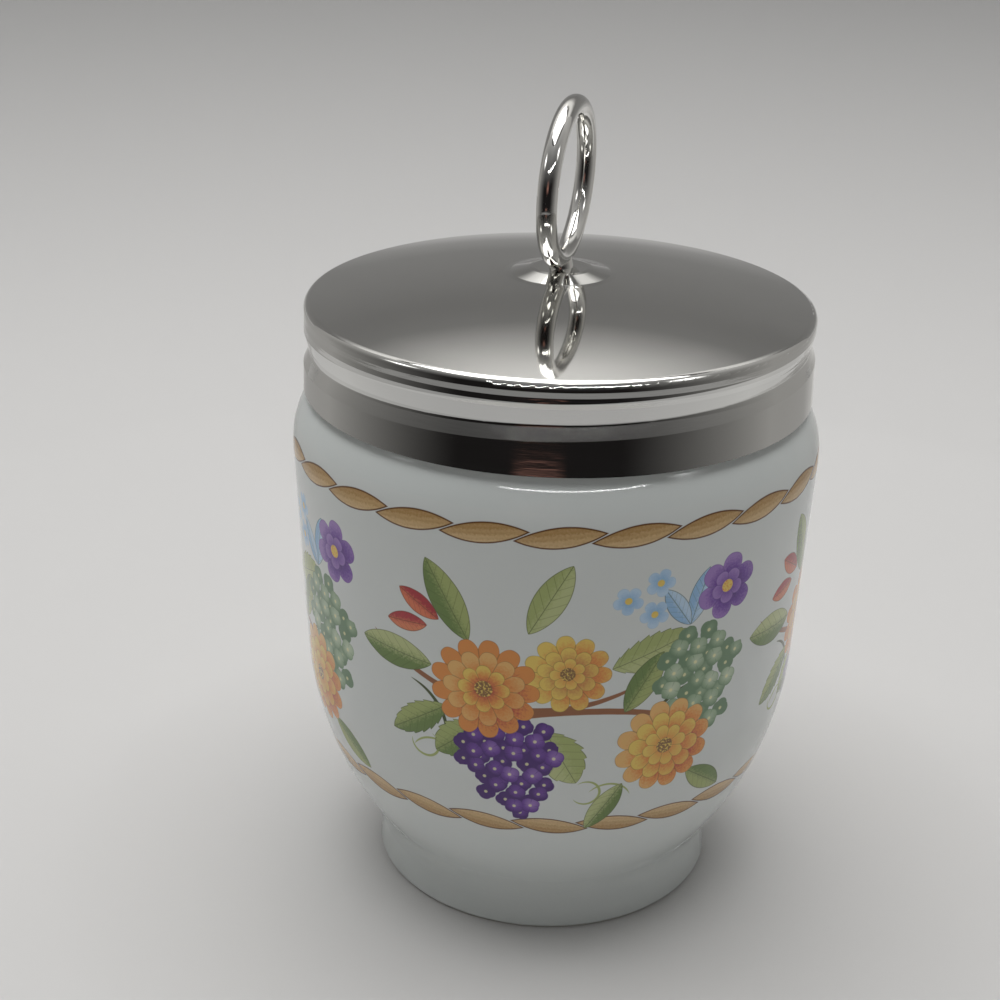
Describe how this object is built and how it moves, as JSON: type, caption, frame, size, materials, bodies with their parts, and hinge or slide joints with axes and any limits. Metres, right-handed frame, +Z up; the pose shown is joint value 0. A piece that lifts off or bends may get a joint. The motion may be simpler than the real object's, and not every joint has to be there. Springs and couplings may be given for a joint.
{
  "type": "egg coddler",
  "caption": "Footed porcelain cup with a threaded neck and a domed metal screw lid carrying an upright lifting ring.",
  "frame": {"origin": "centre of the foot ring, on the surface that the cup stands on", "axes": "+Z up along the axis of cup and lid; +X along the eye of the lifting ring at rest, which stands along Y and leans 2.5 degrees towards +X"},
  "size_m": [0.0718, 0.0718, 0.1109],
  "materials": {
    "porcelain": "gloss",
    "plated_sheet": "polished",
    "plated_wire": "polished",
    "steel_washer": "satin"
  },
  "bodies": {
    "cup": {"cup": "porcelain"},
    "lid_carrier": {"rivet_washer": "steel_washer"},
    "lid": {"screw_lid": "plated_sheet", "lifting_ring": "plated_wire"}
  },
  "joints": [
    {"name": "lid_rise", "type": "slide", "parent": "cup", "child": "lid_carrier", "axis": [0, 0, 1], "range_m": [0, 0.0125]},
    {"name": "lid_turn", "type": "hinge", "parent": "lid_carrier", "child": "lid", "pos_m": [0, 0, 0.084], "axis": [0, 0, 1], "range_deg": [0, 900]}
  ],
  "couplings": [
    {"joint": "lid_rise", "follows": "lid_turn", "m_per_rad": 0.00079577}
  ]
}
